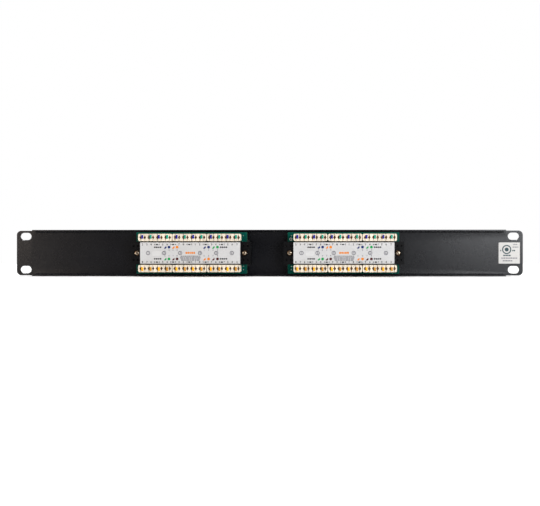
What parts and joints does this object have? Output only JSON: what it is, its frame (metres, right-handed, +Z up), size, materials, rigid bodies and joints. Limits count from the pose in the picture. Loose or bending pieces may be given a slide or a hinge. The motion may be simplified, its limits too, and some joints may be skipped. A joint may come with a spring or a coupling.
{
  "type": "network patch panel",
  "caption": "Rack-width black steel patch panel with two jack modules, green circuit boards, ivory punch-down blocks and printed wiring covers.",
  "frame": {"origin": "centre of the panel, in the plane of the ears' rear faces, where the rack's rails are", "axes": "+X along the panel, to the right as seen from the wiring side; +Z up; +Y towards the plug side, away from the wiring side"},
  "size_m": [0.4826, 0.0327, 0.0436],
  "materials": {
    "panel_paint": "satin black powder coat",
    "ear_label_paper": "matt printed paper",
    "frame_plastic": "fine moulded texture",
    "solder_mask": "green solder mask on glass laminate",
    "cover_plastic": "fine moulded texture",
    "label_paper": "satin printed label",
    "idc_plastic": "ivory moulded polycarbonate",
    "screw_steel": "nickel plated",
    "jack_plastic": "smooth moulded",
    "contact_gold": "gold-plated spring wire"
  },
  "bodies": {
    "panel_assembly": {"rack_panel": "panel_paint", "ear_label": "ear_label_paper", "left_jack_frame": "frame_plastic", "left_circuit_board": "solder_mask", "left_rear_cover": "cover_plastic", "left_wiring_label": "label_paper", "left_idc_top_1": "idc_plastic", "left_idc_top_2": "idc_plastic", "left_idc_top_3": "idc_plastic", "left_idc_bottom_1": "idc_plastic", "left_idc_bottom_2": "idc_plastic", "left_idc_bottom_3": "idc_plastic", "left_screw_1": "screw_steel", "left_screw_2": "screw_steel", "right_jack_frame": "frame_plastic", "right_circuit_board": "solder_mask", "right_rear_cover": "cover_plastic", "right_wiring_label": "label_paper", "right_idc_top_1": "idc_plastic", "right_idc_top_2": "idc_plastic", "right_idc_top_3": "idc_plastic", "right_idc_bottom_1": "idc_plastic", "right_idc_bottom_2": "idc_plastic", "right_idc_bottom_3": "idc_plastic", "right_screw_1": "screw_steel", "right_screw_2": "screw_steel", "port_01_jack": "jack_plastic", "port_02_jack": "jack_plastic", "port_03_jack": "jack_plastic", "port_04_jack": "jack_plastic", "port_05_jack": "jack_plastic", "port_06_jack": "jack_plastic", "port_07_jack": "jack_plastic", "port_08_jack": "jack_plastic", "port_09_jack": "jack_plastic", "port_10_jack": "jack_plastic", "port_11_jack": "jack_plastic", "port_12_jack": "jack_plastic"},
    "port_01_contact_set": {"port_01_contacts": "contact_gold"},
    "port_02_contact_set": {"port_02_contacts": "contact_gold"},
    "port_03_contact_set": {"port_03_contacts": "contact_gold"},
    "port_04_contact_set": {"port_04_contacts": "contact_gold"},
    "port_05_contact_set": {"port_05_contacts": "contact_gold"},
    "port_06_contact_set": {"port_06_contacts": "contact_gold"},
    "port_07_contact_set": {"port_07_contacts": "contact_gold"},
    "port_08_contact_set": {"port_08_contacts": "contact_gold"},
    "port_09_contact_set": {"port_09_contacts": "contact_gold"},
    "port_10_contact_set": {"port_10_contacts": "contact_gold"},
    "port_11_contact_set": {"port_11_contacts": "contact_gold"},
    "port_12_contact_set": {"port_12_contacts": "contact_gold"}
  },
  "joints": [
    {"name": "port_01_contact_flex", "type": "hinge", "parent": "panel_assembly", "child": "port_01_contact_set", "pos_m": [0.1102, 0.00355, 0.0036], "axis": [-1, 0, 0], "range_deg": [0, 14], "stiffness_Nm_per_rad": 0.3},
    {"name": "port_02_contact_flex", "type": "hinge", "parent": "panel_assembly", "child": "port_02_contact_set", "pos_m": [0.0952, 0.00355, 0.0036], "axis": [-1, 0, 0], "range_deg": [0, 14], "stiffness_Nm_per_rad": 0.3},
    {"name": "port_03_contact_flex", "type": "hinge", "parent": "panel_assembly", "child": "port_03_contact_set", "pos_m": [0.0802, 0.00355, 0.0036], "axis": [-1, 0, 0], "range_deg": [0, 14], "stiffness_Nm_per_rad": 0.3},
    {"name": "port_04_contact_flex", "type": "hinge", "parent": "panel_assembly", "child": "port_04_contact_set", "pos_m": [0.0616, 0.00355, 0.0036], "axis": [-1, 0, 0], "range_deg": [0, 14], "stiffness_Nm_per_rad": 0.3},
    {"name": "port_05_contact_flex", "type": "hinge", "parent": "panel_assembly", "child": "port_05_contact_set", "pos_m": [0.0466, 0.00355, 0.0036], "axis": [-1, 0, 0], "range_deg": [0, 14], "stiffness_Nm_per_rad": 0.3},
    {"name": "port_06_contact_flex", "type": "hinge", "parent": "panel_assembly", "child": "port_06_contact_set", "pos_m": [0.0316, 0.00355, 0.0036], "axis": [-1, 0, 0], "range_deg": [0, 14], "stiffness_Nm_per_rad": 0.3},
    {"name": "port_07_contact_flex", "type": "hinge", "parent": "panel_assembly", "child": "port_07_contact_set", "pos_m": [-0.0316, 0.00355, 0.0036], "axis": [-1, 0, 0], "range_deg": [0, 14], "stiffness_Nm_per_rad": 0.3},
    {"name": "port_08_contact_flex", "type": "hinge", "parent": "panel_assembly", "child": "port_08_contact_set", "pos_m": [-0.0466, 0.00355, 0.0036], "axis": [-1, 0, 0], "range_deg": [0, 14], "stiffness_Nm_per_rad": 0.3},
    {"name": "port_09_contact_flex", "type": "hinge", "parent": "panel_assembly", "child": "port_09_contact_set", "pos_m": [-0.0616, 0.00355, 0.0036], "axis": [-1, 0, 0], "range_deg": [0, 14], "stiffness_Nm_per_rad": 0.3},
    {"name": "port_10_contact_flex", "type": "hinge", "parent": "panel_assembly", "child": "port_10_contact_set", "pos_m": [-0.0802, 0.00355, 0.0036], "axis": [-1, 0, 0], "range_deg": [0, 14], "stiffness_Nm_per_rad": 0.3},
    {"name": "port_11_contact_flex", "type": "hinge", "parent": "panel_assembly", "child": "port_11_contact_set", "pos_m": [-0.0952, 0.00355, 0.0036], "axis": [-1, 0, 0], "range_deg": [0, 14], "stiffness_Nm_per_rad": 0.3},
    {"name": "port_12_contact_flex", "type": "hinge", "parent": "panel_assembly", "child": "port_12_contact_set", "pos_m": [-0.1102, 0.00355, 0.0036], "axis": [-1, 0, 0], "range_deg": [0, 14], "stiffness_Nm_per_rad": 0.3}
  ]
}
